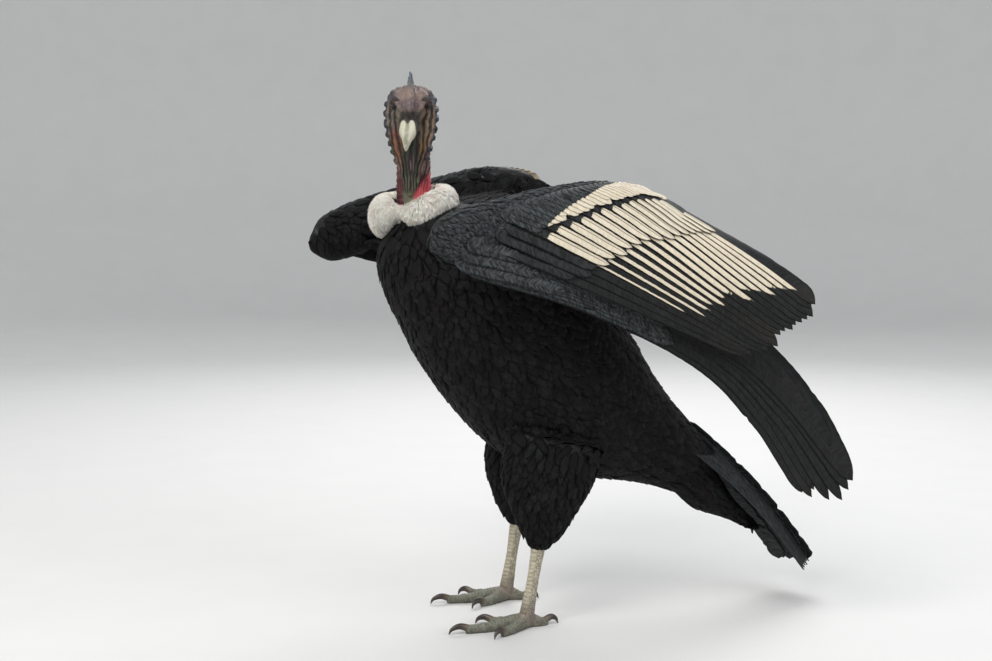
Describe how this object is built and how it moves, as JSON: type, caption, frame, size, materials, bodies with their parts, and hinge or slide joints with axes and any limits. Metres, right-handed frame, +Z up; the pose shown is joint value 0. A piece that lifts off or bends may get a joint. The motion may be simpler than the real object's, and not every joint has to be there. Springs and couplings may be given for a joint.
{
  "type": "andean condor",
  "caption": "Adult male condor standing with both wings half open, white ruff and wing panels, and its head turned to its left.",
  "frame": {"origin": "centre of the bounding box in X and Y, on the floor under the soles", "axes": "+Z up, -Y ahead of the bird's breast, +X to the bird's left"},
  "size_m": [0.6986, 0.9142, 0.9651],
  "materials": {
    "black_feather": "satin black vanes",
    "white_feather": "satin cream white vanes with black inner webs and tips",
    "ruff_down": "matt down",
    "head_skin": "wrinkled bare skin",
    "neck_skin": "bare skin",
    "comb_skin": "matt fleshy plate",
    "bill_horn": "smooth horn",
    "eye": "wet",
    "leg_scale": "small scales",
    "claw": "worn horn"
  },
  "bodies": {
    "root": {"trunk": "black_feather", "ruff": "ruff_down", "neck": "neck_skin", "head": "head_skin", "comb": "comb_skin", "bill_upper": "bill_horn", "bill_lower": "bill_horn", "eye_left": "eye", "eye_right": "eye", "tail_feathers": "black_feather", "tail_coverts_under": "black_feather", "wing_left_arm": "black_feather", "wing_left_hand": "black_feather", "wing_left_secondaries": "white_feather", "wing_left_primaries": "black_feather", "wing_left_tertials": "black_feather", "wing_right_arm": "black_feather", "wing_right_hand": "black_feather", "wing_right_secondaries": "white_feather", "wing_right_primaries": "black_feather", "wing_right_tertials": "black_feather", "leg_left_thigh": "black_feather", "leg_left_foot": "leg_scale", "toe_left_inner": "leg_scale", "toe_left_middle": "leg_scale", "toe_left_outer": "leg_scale", "toe_left_hind": "leg_scale", "claw_left_inner": "claw", "claw_left_middle": "claw", "claw_left_outer": "claw", "claw_left_hind": "claw", "leg_right_thigh": "black_feather", "leg_right_foot": "leg_scale", "toe_right_inner": "leg_scale", "toe_right_middle": "leg_scale", "toe_right_outer": "leg_scale", "toe_right_hind": "leg_scale", "claw_right_inner": "claw", "claw_right_middle": "claw", "claw_right_outer": "claw", "claw_right_hind": "claw"}
  },
  "joints": []
}
